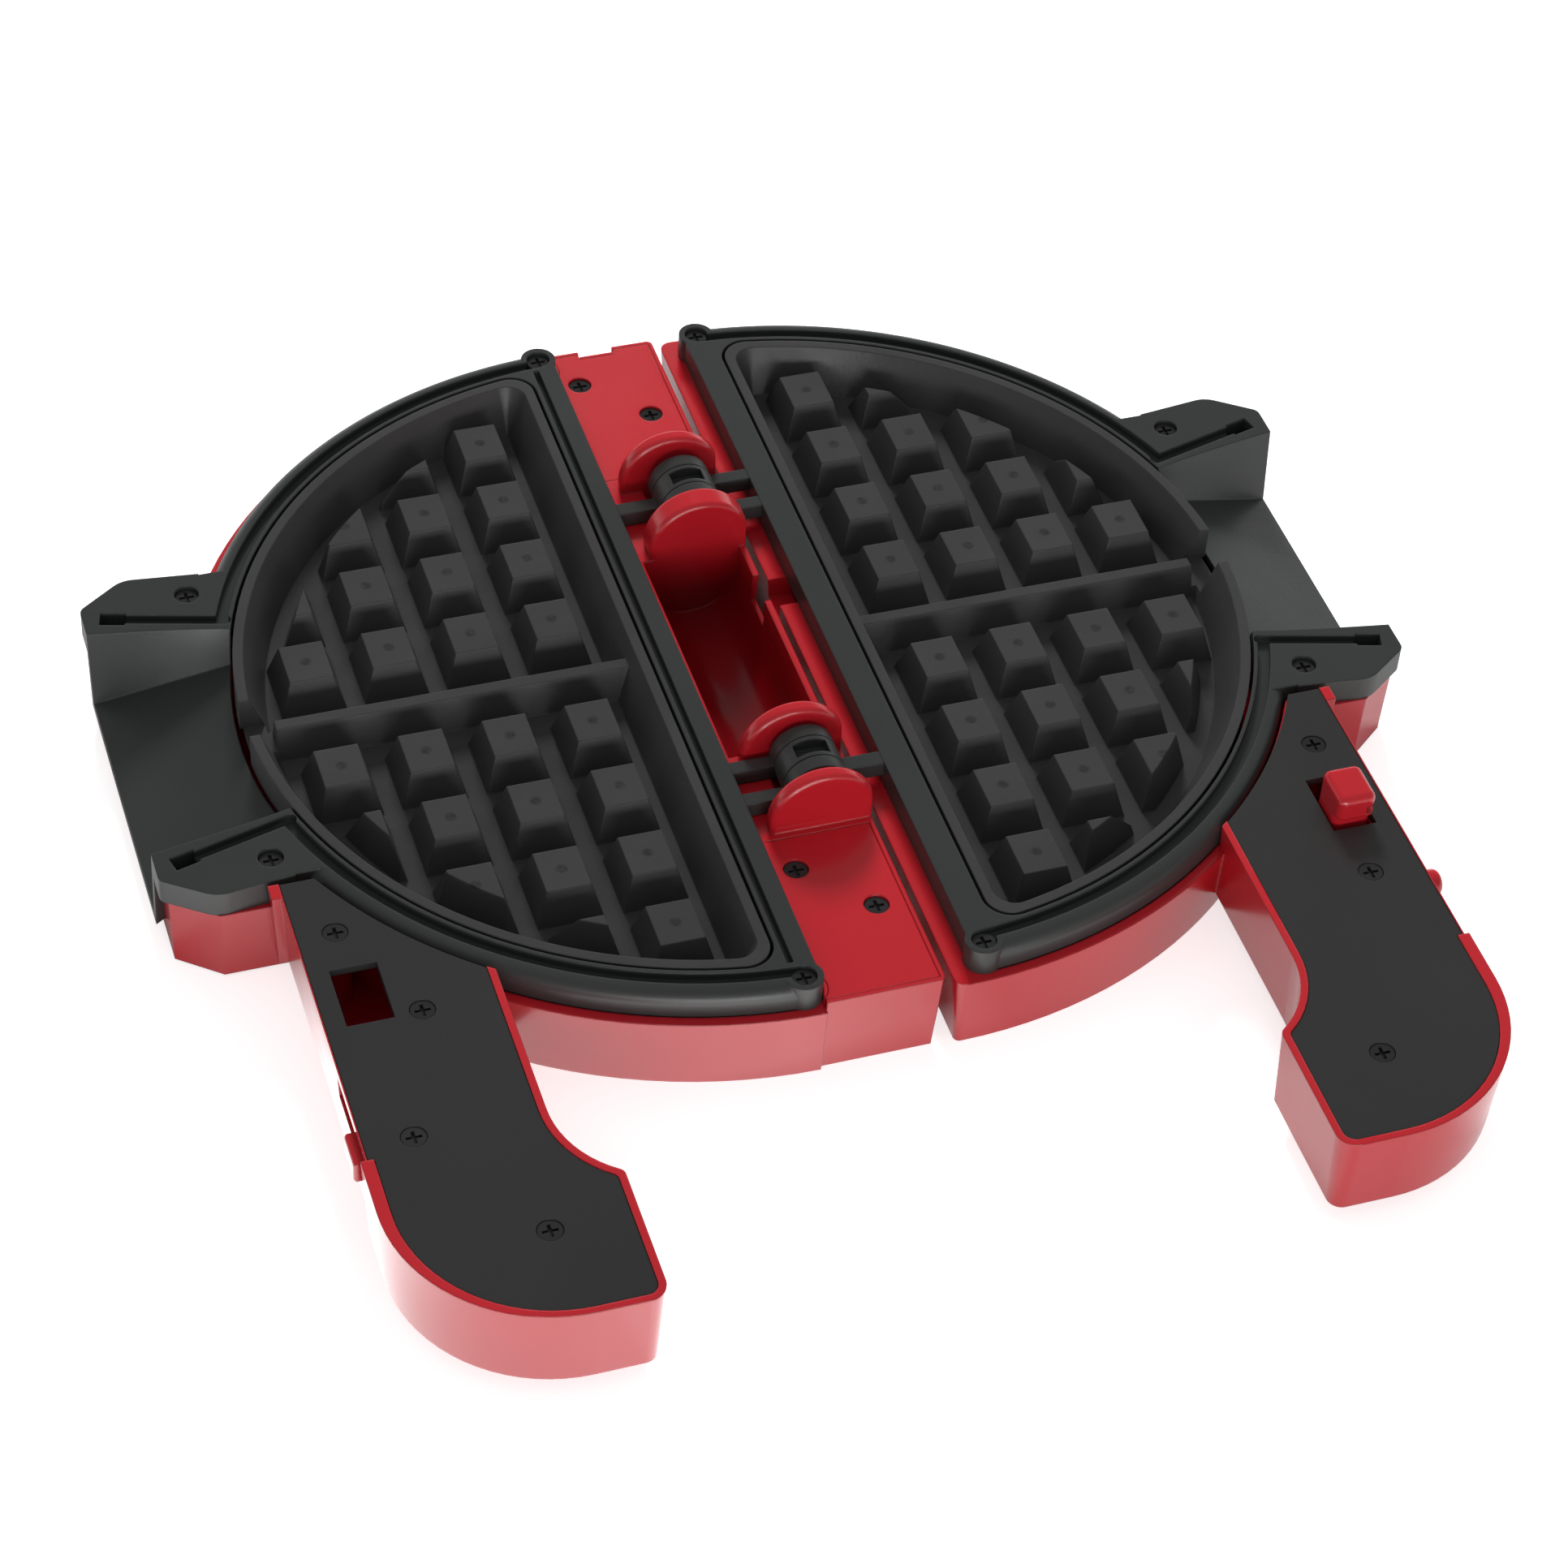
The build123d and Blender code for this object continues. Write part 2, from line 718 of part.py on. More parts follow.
def grip_inner():
    """Hollow of the handle, open at the top for its cover."""
    outline = grip_outline(grip_wall, grip_upper_x, grip_top_y - grip_wall)
    hollow = drafted(outline, 0, grip_floor_z, grip_draft)
    return hollow - rod(arc_x, 0, -half_depth, 5, shell_radius + grip_wall)


def cover_outline(inset, arc_radius):
    """Outline of the handle cover, or of its seat when the inset is 0."""
    outline = grip_outline(grip_wall + inset, grip_upper_x, grip_top_y - inset)
    edge_x = grip_upper_x - cover_edge_gap - inset
    outline += box_flat(grip_upper_x - 3 * grip_wall, edge_x, grip_step_y + inset, grip_top_y - inset)
    return outline - Pos(arc_x, 0) * Circle(arc_radius)


def box_flat(x0, x1, y0, y1):
    """Flat rectangle given by its two corners."""
    return Pos((x0 + x1) / 2, (y0 + y1) / 2) * Rectangle(abs(x1 - x0), abs(y1 - y0))


def cover_seat():
    """Space that the handle cover takes out of the shell."""
    return prism(cover_outline(0, rim_radius), cover_under_z, 1.0)


def grip_bosses(spots):
    """Screw bosses inside a handle."""
    bosses = None
    for x, y in spots:
        boss = rod(x, y, grip_floor_z - 0.5, cover_under_z, screw_boss_radius)
        bosses = boss if bosses is None else bosses + boss
    return bosses


def shell_posts():
    """Posts and bosses on the floor of the round part."""
    posts = None
    for x, y in post_spots:
        post = rod(x, y, shell_floor_z - 0.5, reflector_z, post_foot_radius)
        posts = post if posts is None else posts + post
    for x, y in rim_screw_spots():
        posts += rod(x, y, shell_floor_z - 0.5, seat_z, screw_boss_radius)
    return posts


def runner(y0, y1):
    """Rib on the handle floor that carries a sliding piece."""
    x1 = carrier_outer_x
    return box_between(x1 - carrier_thickness, x1, y0, y1, grip_floor_z - 0.5, carrier_bottom_z - part_gap)


def shell_cuts(grip_spots):
    """Screw holes of one shell."""
    cuts = None
    for x, y in rim_screw_spots():
        cut = screw_hole(x, y, rim_top_z - screw_sink, screw_head_height, rim_screw_length)
        cuts = cut if cuts is None else cuts + cut
    for x, y in grip_spots:
        cuts += rod(x, y, cover_under_z - grip_screw_length, 5, screw_shank_radius + running_fit)
    for x, y in post_spots:
        cuts += rod(x, y, -half_depth - 1, -half_depth + under_screw_sink, screw_head_radius + seat_gap)
        cuts += rod(x, y, -half_depth, reflector_z + 1, screw_shank_radius + seat_gap)
    return cuts


def half_shell(hollow_x, grip_spots):
    """Shell of one half, right side, without what differs left and right."""
    body = round_outer() + wing_outer() + grip_outer()
    body = body - round_inner(hollow_x) - wing_inner() - grip_inner()
    body += shell_posts() & (round_outer() + wing_outer())
    body += grip_bosses(grip_spots)
    body -= cover_seat()
    return body - spout_outer()


def slot_in_wall(y0, y1, z0, z1):
    """Slot through the outer wall of a handle."""
    return box_between(grip_upper_x - 3 * grip_wall, grip_outer_x + 2, y0, y1, z0, z1)


def peg_slot():
    """Long hole for the thumb peg of the catch."""
    reach = peg_radius + part_gap
    slot = rod_along_x(peg_y, peg_z, grip_upper_x - 3 * grip_wall, grip_outer_x + 2, reach)
    slot += rod_along_x(peg_y - catch_travel, peg_z, grip_upper_x - 3 * grip_wall, grip_outer_x + 2, reach)
    return slot + slot_in_wall(peg_y - catch_travel, peg_y, peg_z - reach, peg_z + reach)


def right_shell():
    """Right shell with the catch's long hole and runner."""
    body = half_shell(shell_edge_x + ledge_width, right_grip_screws)
    body += runner(peg_y - peg_margin - 1, hole_y1 - runner_setback)
    body -= box_between(
        shell_edge_x - 1, shell_edge_x + ledge_width + 1, wire_notch_y0, wire_notch_y1, wire_notch_z, 0)
    return body - peg_slot() - shell_cuts(right_grip_screws)


def block_outer():
    """Outer form of the base block with its hinge ears."""
    left = block_left_x - 6
    outline = box_flat(left, block_right_x, -block_half_y, block_half_y)
    corners = [v for v in outline.vertices() if v.X > 0]
    outline = fillet(corners, block_corner)
    block = drafted(outline, block_top_z, -half_depth, block_draft)
    block &= box_between(left + 3, shell_radius, -shell_radius, shell_radius, -half_depth, 0)
    low = box_between(left, block_left_x, -shell_radius, shell_radius, seat_z, 0)
    return block - low


def ears():
    """Four upright half discs that hold the hinge pins."""
    spans = [
        (ear_inner_y0 - ear_far_extra, ear_inner_y0 + ear_thickness),
        (ear_outer_y0, ear_outer_y0 + ear_thickness),
        (-ear_inner_y0 - ear_thickness, -ear_inner_y0),
        (-ear_outer_y0 - ear_thickness, -ear_outer_y0),
    ]
    body = None
    for y0, y1 in spans:
        disc = rod_along_y(ear_shift_x, -ear_drop, y0, y1, ear_radius)
        disc = fillet(disc.edges().filter_by(GeomType.CIRCLE), ear_round)
        body = disc if body is None else body + disc
    return body & box_between(
        -2 * ear_radius, block_right_x, -block_half_y, block_half_y, block_top_z - 3, ear_radius)


def trough():
    """Open trough between the hinges."""
    radius = (trough_right_x - trough_left_x) / 2
    middle = (trough_right_x + trough_left_x) / 2
    low = rod_along_y(middle, trough_centre_z, trough_near_y, trough_far_y, radius)
    return low + box_between(trough_left_x, trough_right_x, trough_near_y, trough_far_y, trough_centre_z, 20)


def hinge_pockets():
    """Round spaces that the knuckles turn in."""
    pockets = None
    for side in (1, -1):
        y0 = side * (ear_inner_y0 + ear_thickness)
        y1 = side * ear_outer_y0
        pocket = rod_along_y(0, 0, y0, y1, pocket_radius)
        pockets = pocket if pockets is None else pockets + pocket
    return pockets


def base_cover_outline(side, inset):
    """Outline of one base cover plate."""
    y0 = side * (cover_near_y + inset)
    y1 = side * (block_half_y - block_rim - inset)
    outline = box_flat(block_left_x + inset, block_right_x - block_rim - inset, y0, y1)
    outline -= Pos(-corner_screw_x, side * corner_screw_y) * Circle(corner_boss_radius + block_rim + inset)
    if side > 0:
        outline -= box_flat(
            cord_recess_x0 - inset, cord_recess_x1 + inset,
            block_half_y - cord_recess_depth - inset - block_rim, block_half_y + 1)
    return outline


def block_hollow(side):
    """Room under one base cover plate."""
    y0 = side * (cover_near_y + block_wall)
    y1 = side * (block_half_y - block_wall - room_inset)
    room = box_flat(block_left_x + block_wall, block_right_x - block_wall - room_inset, y0, y1)
    seat = prism(base_cover_outline(side, 0), block_top_z - cover_thickness, 1)
    return prism(room, shell_floor_z, 0) + seat


def cover_bosses(spots):
    """Screw bosses below a base cover plate."""
    bosses = None
    for x, y in spots:
        boss = rod(x, y, shell_floor_z - 0.5, block_top_z - cover_thickness, screw_boss_radius)
        bosses = boss if bosses is None else bosses + boss
    return bosses


def left_shell():
    """Left shell with the base block."""
    hollow_x = -block_left_x + block_wall
    body = mirrored(half_shell(hollow_x, left_grip_screws))
    body += mirrored(runner(tab_y0 - 2, tongue_y1 + lock_travel))
    body -= mirrored(slot_in_wall(tab_y0 - 0.5, tab_y1 + lock_travel + 1.5, lock_slot_z0, lock_slot_z1))
    body -= box_between(block_left_x, 0, -2 * shell_radius, 2 * shell_radius, -half_depth - 1, half_depth)
    block = block_outer() - hinge_pockets() + ears()
    block -= trough()
    block -= block_hollow(1)
    block -= block_hollow(-1)
    block += cover_bosses(far_cover_screws + near_cover_screws)
    round_room = mirrored(round_inner(hollow_x))
    block -= round_room & box_between(-shell_radius, block_left_x, -shell_radius, shell_radius, -half_depth, 0)
    body += block
    body -= mirrored(shell_cuts(left_grip_screws))
    for side in (1, -1):
        body -= rod(-corner_screw_x, side * corner_screw_y, seat_z, 5, corner_boss_radius + seat_gap)
    for x, y in far_cover_screws + near_cover_screws:
        body -= rod(x, y, block_top_z - grip_screw_length - part_gap, 5, screw_shank_radius + running_fit)
    body -= hinge_bores_in_ears()
    body -= box_between(trough_right_x - 1, block_right_x + 2, wire_notch_y0, wire_notch_y1, wire_notch_z, 20)
    body -= box_between(
        cord_recess_x0, cord_recess_x1, block_half_y - cord_recess_depth, block_half_y + 5,
        gland_z - gland_flange_radius - gland_room, 20)
    body -= rod_along_y(
        (cord_recess_x0 + cord_recess_x1) / 2, gland_z, block_half_y - 8, block_half_y + 5, gland_radius)
    for side in (1, -1):
        middle = side * wire_window_y
        body -= box_between(
            block_left_x - 3, block_left_x + block_wall + 1,
            middle - wire_window_width / 2, middle + wire_window_width / 2, wire_window_z0, wire_window_z1)
    return body


def hinge_bores_in_ears():
    """Blind holes of the pins in the ears."""
    bores = None
    for side in (1, -1):
        y0 = side * (ear_inner_y0 + ear_thickness - pin_end_depth)
        y1 = side * (ear_outer_y0 + pin_end_depth)
        bore = rod_along_y(0, 0, y0, y1, pin_radius)
        bores = bore if bores is None else bores + bore
    return bores


# Covers and small pieces


def grip_cover(spots):
    """Handle cover with its catch hole and screw pockets, right side."""
    cover = prism(cover_outline(seat_gap, grip_arc_radius), cover_under_z, cover_top_z)
    cover -= box_between(hole_x0, hole_x1, hole_y0, hole_y1, -10, 5)
    for x, y in spots:
        cover -= rod(x, y, cover_top_z - screw_sink, 5, screw_head_radius + seat_gap)
        cover -= rod(x, y, -10, 5, screw_shank_radius + seat_gap)
    return cover


def base_cover(side, spots):
    """One red base cover plate."""
    top_z = block_top_z
    plate = prism(base_cover_outline(side, cover_gap), top_z - cover_thickness, top_z)
    for x, y in spots:
        plate -= rod(x, y, top_z - base_screw_sink - base_screw_head, 5, screw_head_radius + seat_gap)
        plate -= rod(x, y, -20, 5, screw_shank_radius + seat_gap)
    return plate


def hinge_pin(side):
    """Steel pin of one hinge."""
    y0 = side * (ear_inner_y0 + ear_thickness - pin_end_depth + running_fit)
    y1 = side * (ear_outer_y0 + pin_end_depth - running_fit)
    return rod_along_y(0, 0, y0, y1, pin_radius)


def screw_group(spots, top_z, head_height, length):
    """Screws of one kind as separate solids."""
    return Compound(children=[screw(x, y, top_z, head_height, length) for x, y in spots])


def under_screws():
    """Screws that hold the plate from below."""
    solids = []
    for x, y in post_spots:
        head_z = -half_depth + under_screw_sink - seat_gap
        foot_z = head_z - under_screw_head
        body = rod(x, y, foot_z, head_z, screw_head_radius)
        body += rod(x, y, head_z, head_z + under_screw_length, screw_shank_radius)
        cross = Rectangle(cross_length, cross_width) + Rectangle(cross_width, cross_length)
        body -= prism(Pos(x, y) * cross, foot_z, foot_z + screw_recess_depth)
        solids.append(body)
    return Compound(children=solids)


def reflector():
    """Heat reflector sheet of the right half."""
    outline = half_disc(reflector_radius, reflector_edge_x, reflector_corner)
    sheet = prism(outline, reflector_z, reflector_z + reflector_thickness)
    for x, y in post_spots:
        sheet -= rod(x, y, -half_depth, 0, screw_shank_radius + seat_gap)
    return sheet


def heating_element():
    """Horseshoe tube heater of the right half with its two terminals."""
    z = plate_bottom_z - element_radius - running_fit
    reach = math.acos((element_reach_x - arc_x) / element_ring_radius)
    y = element_ring_radius * math.sin(reach)
    arc = ThreePointArc((element_reach_x, -y, z), (arc_x + element_ring_radius, 0, z), (element_reach_x, y, z))
    start = Plane(origin=arc @ 0, z_dir=arc % 0)
    tube = sweep(start * Circle(element_radius), path=arc)
    for side in (0, 1):
        end = Plane(origin=arc @ side, z_dir=(arc % side) * (2 * side - 1))
        tube += extrude(end * Circle(element_terminal_radius), amount=element_terminal_length)
    return tube


def thermostat():
    """Disc thermostat below the plate, right side."""
    top_z = plate_bottom_z
    body = rod(thermostat_x, thermostat_y, top_z - thermostat_height, top_z, thermostat_radius)
    for side in (1, -1):
        place = Pos(thermostat_x, side * (thermostat_radius + 1), top_z - thermostat_height + 1)
        body += place * Box(*thermostat_tab)
    return body


def thermal_fuse():
    """Thermal fuse clipped below the plate, right side."""
    z = plate_bottom_z - fuse_radius - 0.5
    body = rod_along_y(fuse_x, z, fuse_y - fuse_length / 2, fuse_y + fuse_length / 2, fuse_radius)
    body += rod_along_y(fuse_x, z, fuse_y - fuse_length, fuse_y + fuse_length, fuse_lead_radius)
    clip = Box(2 * fuse_radius + 1, fuse_clip_width, plate_bottom_z - z)
    clip = Pos(fuse_x, fuse_y, (z + plate_bottom_z) / 2) * clip
    return body + clip


def terminal_block():
    """Terminal block on the floor of the far base room."""
    width, depth, height = terminal_size
    x = block_left_x + block_wall + terminal_wall_gap + width / 2
    top_z = shell_floor_z + height
    body = Pos(x, terminal_y, shell_floor_z + height / 2) * Box(width, depth, height)
    for step in (-1, 0, 1):
        body -= rod(x, terminal_y + step * terminal_pitch, top_z - terminal_bore_depth, top_z + 1, terminal_bore)
    return body


def cord_gland():
    """Rubber bush in the far end of the base."""
    x = (cord_recess_x0 + cord_recess_x1) / 2
    wall_y = block_half_y - cord_recess_depth
    neck = rod_along_y(x, gland_z, wall_y - gland_neck_length, wall_y, gland_radius - running_fit)
    flange = rod_along_y(x, gland_z, wall_y, wall_y + gland_flange_thickness, gland_flange_radius)
    return neck + flange - rod_along_y(x, gland_z, wall_y - 6, wall_y + 6, gland_bore)


def catch():
    """Catch with its nose, side groove, carrier and thumb peg."""
    x0 = hole_x0 + catch_side_gap
    x1 = hole_x1 - catch_side_gap
    y0 = hole_y0 + catch_front_gap
    y1 = hole_y1 - catch_back_gap
    nose_z = grip_cover_thickness + mating_gap + 0.15
    head_y0 = y0 - catch_nose
    head = box_between(x0, x1, head_y0, head_y0 + catch_head_length, nose_z, catch_height)
    tops = head.edges().filter_by(lambda e: e.center().Z > catch_height - 0.01)
    uprights = head.edges().filter_by(Axis.Z)
    head = fillet(tops + uprights, catch_head_round)
    neck = box_between(x0, x1, y0, head_y0 + catch_head_length, catch_foot_z, nose_z + 2)
    neck = fillet(neck.edges().filter_by(Axis.Z), catch_head_round)
    body = head + neck
    body -= box_between(x1 - catch_groove_depth, x1 + 5, y0 - 10, y1 + 10, catch_groove_z0, catch_groove_z1)
    bar_x0 = carrier_outer_x - carrier_thickness
    body += box_between(bar_x0, carrier_outer_x, peg_y - peg_margin, y1, carrier_bottom_z, carrier_top_z)
    web_y0 = y0 + catch_head_round
    web_y1 = web_y0 + catch_web_length
    body += box_between(x0 + catch_web_inset, bar_x0 + 1, web_y0, web_y1, catch_foot_z, carrier_top_z)
    body += rod_along_x(peg_y, peg_z, carrier_outer_x - 1, peg_reach_x, peg_radius)
    knob = rod_along_x(peg_y, peg_z, grip_upper_x + peg_knob_gap, peg_reach_x, peg_knob_radius)
    rim = knob.edges().filter_by(lambda e: e.center().X > peg_reach_x - 0.01)
    return body + fillet(rim, peg_knob_radius / 2)


def lock_slider():
    """Lock slider with its tab and tongue, drawn on the right side."""
    bar_x0 = carrier_outer_x - carrier_thickness
    bar = box_between(bar_x0, carrier_outer_x, tab_y0 - 2, tongue_y1, carrier_bottom_z, carrier_top_z)
    gap = part_gap
    tab = box_between(carrier_outer_x - 1, tab_reach_x, tab_y0, tab_y1, lock_slot_z0 + gap, lock_slot_z1 - gap)
    tops = tab.edges().filter_by(lambda e: e.center().X > tab_reach_x - 0.01)
    tab = fillet(tops, tab_round)
    tongue_x0 = hole_x1 - catch_side_gap - catch_groove_depth + tongue_gap
    tongue = box_between(
        tongue_x0, bar_x0 + 1, tongue_y1 - tongue_length, tongue_y1,
        tongue_gap - catch_groove_z1, -tongue_gap - catch_groove_z0)
    return bar + tab + tongue


def write(name, piece):
    """Lift one piece to its place above the table and write it."""
    placed = Pos(0, 0, half_depth) * piece
    placed.label = name
    export_step(placed, "parts/" + name + ".step")


def build_all():
    """Build and write every piece."""
    os.makedirs("parts", exist_ok=True)
    right_plate = grid_plate()
    right_reflector = reflector()
    right_element = heating_element()
    rim_spots = rim_screw_spots()
    rim_screws = screw_group(rim_spots, rim_top_z - screw_sink, screw_head_height, rim_screw_length)
    plate_screws = under_screws()
    grip_top = cover_top_z - grip_screw_sink
    left_grips = screw_group(left_grip_screws, grip_top, grip_screw_head, grip_screw_length)
    right_grips = screw_group(right_grip_screws, grip_top, grip_screw_head, grip_screw_length)
    base_spots = far_cover_screws + near_cover_screws
    base_top = block_top_z - base_screw_sink
    pieces = {
        "left_shell": left_shell(),
        "right_shell": right_shell(),
        "left_frame": left_frame(),
        "right_frame": frame(True),
        "left_grid_plate": mirrored(right_plate),
        "right_grid_plate": right_plate,
        "left_handle_cover": mirrored(grip_cover(left_grip_screws)),
        "right_handle_cover": grip_cover(right_grip_screws),
        "base_cover_near": base_cover(-1, near_cover_screws),
        "base_cover_far": base_cover(1, far_cover_screws),
        "hinge_pin_near": hinge_pin(-1),
        "hinge_pin_far": hinge_pin(1),
        "catch": catch(),
        "lock_slider": mirrored(lock_slider()),
        "left_frame_screws": mirrored(rim_screws),
        "right_frame_screws": rim_screws,
        "left_cover_screws": mirrored(left_grips),
        "right_cover_screws": right_grips,
        "base_cover_screws": screw_group(base_spots, base_top, base_screw_head, grip_screw_length - 2),
        "left_plate_screws": mirrored(plate_screws),
        "right_plate_screws": plate_screws,
        "left_heating_element": mirrored(right_element),
        "right_heating_element": right_element,
        "left_reflector": mirrored(right_reflector),
        "right_reflector": right_reflector,
        "thermostat": mirrored(thermostat()),
        "thermal_fuse": mirrored(thermal_fuse()),
        "terminal_block": terminal_block(),
        "cord_gland": cord_gland(),
    }
    for name, piece in pieces.items():
        write(name, piece)


build_all()
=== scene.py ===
import json
import math

import bpy
from mathutils import Matrix, Vector

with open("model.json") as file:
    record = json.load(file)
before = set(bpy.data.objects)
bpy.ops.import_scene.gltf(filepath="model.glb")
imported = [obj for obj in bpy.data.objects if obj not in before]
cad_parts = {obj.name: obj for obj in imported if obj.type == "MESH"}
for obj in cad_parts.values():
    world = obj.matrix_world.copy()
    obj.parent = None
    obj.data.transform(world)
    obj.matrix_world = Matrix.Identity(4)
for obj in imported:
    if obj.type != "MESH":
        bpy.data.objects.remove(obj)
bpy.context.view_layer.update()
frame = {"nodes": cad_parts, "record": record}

scene = bpy.context.scene

# Camera, in metres and degrees

CAMERA_AZIMUTH = math.radians(-20.52)
CAMERA_ELEVATION = math.radians(44.49)
CAMERA_ROLL = math.radians(4.02)
CAMERA_DISTANCE = 0.9609
CAMERA_TARGET = Vector((-0.0072, -0.0525, 0.027))
CAMERA_NEAR = 0.01
CAMERA_FAR = 20
SENSOR_WIDTH = 36.0
FOCAL_PIXELS = 5159.2
PHOTO_WIDTH = 1932.0


def place_camera():
    """Camera at the photograph's angle and distance."""
    back = Vector((
        math.sin(CAMERA_AZIMUTH) * math.cos(CAMERA_ELEVATION),
        -math.cos(CAMERA_AZIMUTH) * math.cos(CAMERA_ELEVATION),
        math.sin(CAMERA_ELEVATION)))
    right = (-back).cross(Vector((0, 0, 1))).normalized()
    up = right.cross(-back)
    turned_right = math.cos(CAMERA_ROLL) * right + math.sin(CAMERA_ROLL) * up
    turned_up = -math.sin(CAMERA_ROLL) * right + math.cos(CAMERA_ROLL) * up
    place = CAMERA_TARGET + back * CAMERA_DISTANCE
    data = bpy.data.cameras.new("camera")
    data.sensor_width = SENSOR_WIDTH
    data.lens = FOCAL_PIXELS / PHOTO_WIDTH * SENSOR_WIDTH
    data.clip_start = CAMERA_NEAR
    data.clip_end = CAMERA_FAR
    camera = bpy.data.objects.new("camera", data)
    camera.matrix_world = Matrix((
        (turned_right.x, turned_up.x, back.x, place.x),
        (turned_right.y, turned_up.y, back.y, place.y),
        (turned_right.z, turned_up.z, back.z, place.z),
        (0, 0, 0, 1)))
    scene.collection.objects.link(camera)
    scene.camera = camera


# Node trees


class Nodes:
    """Short calls for the nodes of one tree."""

    def __init__(self, tree, coordinates="Object"):
        self.tree = tree
        self.place = self.new("TexCoord").outputs[coordinates]

    def new(self, kind):
        return self.tree.nodes.new("ShaderNode" + kind)

    def feed(self, socket, value):
        """Put a number, a colour or the output of a node on a socket."""
        if isinstance(value, (int, float)):
            socket.default_value = value
        elif isinstance(value, tuple):
            socket.default_value = (*value, 1)
        else:
            self.tree.links.new(value, socket)

    def axes(self):
        """X, Y and Z of the place, one socket each."""
        node = self.new("SeparateXYZ")
        self.feed(node.inputs[0], self.place)
        return node.outputs

    def math(self, operation, *values):
        """One calculation on sockets and numbers."""
        node = self.new("Math")
        node.operation = operation
        for socket, value in zip(node.inputs, values):
            self.feed(socket, value)
        return node.outputs[0]

    def spread(self, value, low, high, out_low, out_high):
        """Part of a value's range laid over another range."""
        node = self.new("MapRange")
        limits = {"From Min": low, "From Max": high, "To Min": out_low, "To Max": out_high}
        for name, limit in limits.items():
            self.feed(node.inputs[name], limit)
        self.feed(node.inputs["Value"], value)
        return node.outputs["Result"]

    def noise(self, scale, detail=2.0, roughness=0.5, stretch=None):
        """Noise value between 0 and 1 over the place."""
        node = self.new("TexNoise")
        self.feed(node.inputs["Scale"], scale)
        self.feed(node.inputs["Detail"], detail)
        self.feed(node.inputs["Roughness"], roughness)
        source = self.place
        if stretch:
            mapping = self.new("Mapping")
            mapping.inputs["Scale"].default_value = stretch
            self.feed(mapping.inputs["Vector"], source)
            source = mapping.outputs["Vector"]
        self.feed(node.inputs["Vector"], source)
        return node.outputs["Fac"]


# Materials of the object. Scales are in cells per metre, heights and places in metres.

NOISE_MIDDLE = (0.3, 0.7)

# Box of the hinge trough in which the red plastic gets painted shade, darker towards the bottom.
TROUGH_X = (-0.0165, 0.0098)
TROUGH_Y = (-0.0375, 0.0345)
TROUGH_Z = (0.010, 0.026)

FLOW_SCALE = 9.0
FLOW_STRETCH = (1.0, 1.0, 2.2)
SMEAR_SCALE = 38.0
SMEAR_MIDDLE = (0.3, 0.75)
SPECK_SCALE = 1400.0
SPECK_SHARE = 1 / 3

STUDS_X = (0.0429, 0.0200)
STUDS_Y = (0.0181, 0.0224)
STUD_TOP_Z = 0.0242
STUD_TOP_MARGIN = 0.0005
MARK_RADIUS = 0.0016
MARK_CORE = 0.6
MARK_COLOUR = (0.012, 0.012, 0.012)
MARK_SCALE = 900.0
MARK_DEPTH = (0.25, 0.75)

COATING_DARK = (0.041, 0.040, 0.041)
COATING_LIGHT = (0.053, 0.051, 0.053)
COATING_CLOUD_SCALE = 24.0
COATING_SHEEN_SCALE = 70.0
COATING_ROUGH = (0.36, 0.5)
COATING_EDGE = 0.0006
COATING_IOR = 1.45
RIPPLE_SCALE = 520.0
RIPPLE_HEIGHT = 0.00006
PORE_SCALE = 1500.0
PORE_HEIGHT = 0.00003

STAIN_SCALE = 30.0
STAIN_MIDDLE = (0.35, 0.7)
LINE_SCALE = 260.0
LINE_HEIGHT = 0.00002
METAL_EDGE = 0.0003
NO_STRETCH = (1.0, 1.0, 1.0)

BEVEL_SAMPLES = 4

PLASTICS = {
    # The red plastic's trough_shade colour is painted shade, blended in towards the bottom of
    # the hinge trough.
    "red_plastic": dict(
        dark=(0.48, 0.011, 0.019), light=(0.54, 0.015, 0.024), rough=(0.16, 0.24),
        scale=700.0, height=0.00002, edge=0.0007, ior=1.6, trough_shade=(0.19, 0.002, 0.005)),
    "black_plastic": dict(
        dark=(0.030, 0.033, 0.032), light=(0.038, 0.041, 0.040), rough=(0.34, 0.48),
        scale=900.0, height=0.00005, edge=0.0006),
    "cover_plastic": dict(
        dark=(0.026, 0.026, 0.026), light=(0.032, 0.032, 0.032), rough=(0.42, 0.55),
        scale=1100.0, height=0.00005, edge=0.0003),
    "inner_plastic": dict(
        dark=(0.62, 0.60, 0.52), light=(0.70, 0.68, 0.60), rough=(0.4, 0.55),
        scale=800.0, height=0.00004, edge=0.0003),
    "gland_rubber": dict(
        dark=(0.012, 0.012, 0.012), light=(0.022, 0.022, 0.022), rough=(0.6, 0.75),
        scale=900.0, height=0.00006, edge=0.0004),
}
METALS = {
    "steel": dict(
        dark=(0.55, 0.55, 0.56), light=(0.68, 0.68, 0.68), rough=(0.22, 0.4),
        metallic=1.0, stretch=(1.0, 0.06, 1.0)),
    "dark_screw": dict(
        dark=(0.022, 0.022, 0.022), light=(0.036, 0.036, 0.036), rough=(0.4, 0.55),
        metallic=0.2, stretch=NO_STRETCH),
    "element_steel": dict(
        dark=(0.30, 0.24, 0.19), light=(0.48, 0.45, 0.42), rough=(0.35, 0.5),
        metallic=1.0, stretch=NO_STRETCH),
    "reflector_sheet": dict(
        dark=(0.62, 0.63, 0.64), light=(0.76, 0.76, 0.77), rough=(0.2, 0.34),
        metallic=1.0, stretch=(1.0, 0.05, 1.0)),
}


